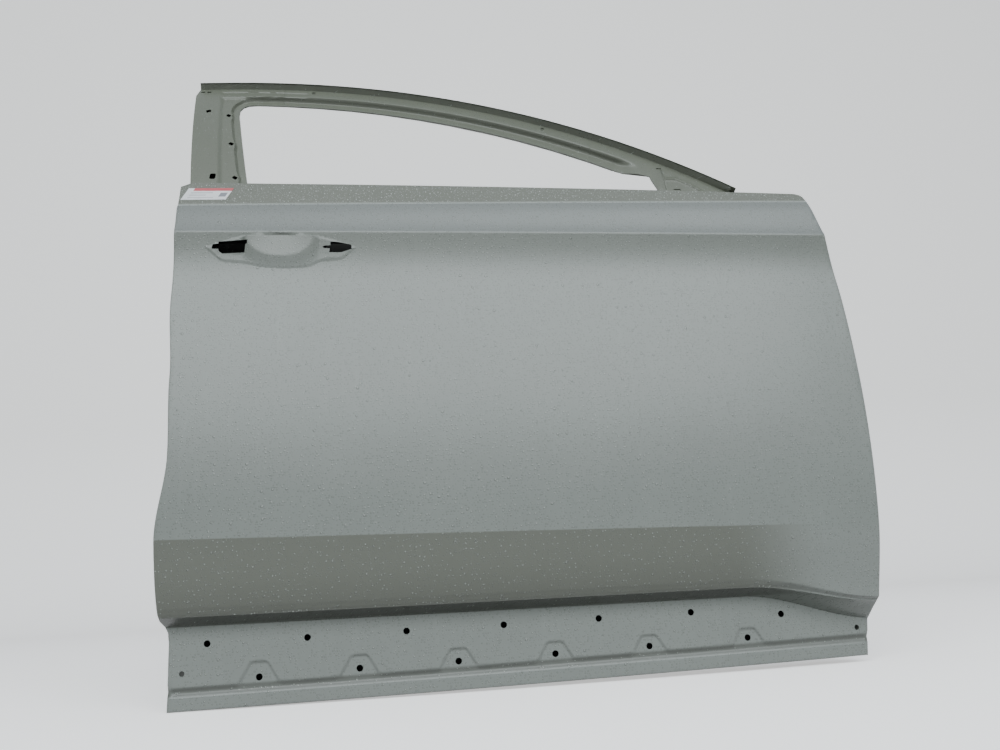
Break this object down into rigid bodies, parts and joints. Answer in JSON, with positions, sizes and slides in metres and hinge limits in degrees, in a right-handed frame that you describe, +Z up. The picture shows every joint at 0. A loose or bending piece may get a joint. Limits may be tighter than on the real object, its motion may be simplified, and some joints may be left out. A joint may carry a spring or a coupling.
{
  "type": "car door shell",
  "caption": "Bare front car door shell: stamped outer skin hemmed over an inner panel, with window frame, side beam, hinge and latch plates, in grey-green primer",
  "frame": {"origin": "middle of the lower hinge pad, on the plane of the door's front face", "axes": "+X to the front of the car, +Y inboard, +Z up; the outside of the door faces -Y"},
  "size_m": [1.1824, 0.2117, 1.1504],
  "materials": {
    "skin_primer": "grey-green electrocoat, wet with small rain drops",
    "frame_primer": "grey-green electrocoat, wet with small rain drops",
    "inner_primer": "grey-green electrocoat, dry",
    "mastic": "expanded mastic",
    "label_paper": "printed paper"
  },
  "bodies": {
    "root": {"b_pillar_panel": "frame_primer", "beam_bracket_front": "inner_primer", "beam_bracket_rear": "inner_primer", "belt_rail_inner": "inner_primer", "belt_rail_outer": "inner_primer", "blank_label": "label_paper", "check_strap_plate": "inner_primer", "frame_inner": "frame_primer", "glass_run_front": "inner_primer", "glass_run_front_arm": "inner_primer", "glass_run_rear": "inner_primer", "glass_run_rear_arm": "inner_primer", "handle_plate": "inner_primer", "header_rail": "frame_primer", "hinge_lower_nut_high": "inner_primer", "hinge_lower_nut_low": "inner_primer", "hinge_lower_plate": "inner_primer", "hinge_upper_nut_high": "inner_primer", "hinge_upper_nut_low": "inner_primer", "hinge_upper_plate": "inner_primer", "impact_beam": "inner_primer", "inner_panel": "inner_primer", "latch_plate": "inner_primer", "mastic_pad_1": "mastic", "mastic_pad_2": "mastic", "mastic_pad_3": "mastic", "outer_skin": "skin_primer", "sail_panel": "frame_primer"}
  },
  "joints": []
}
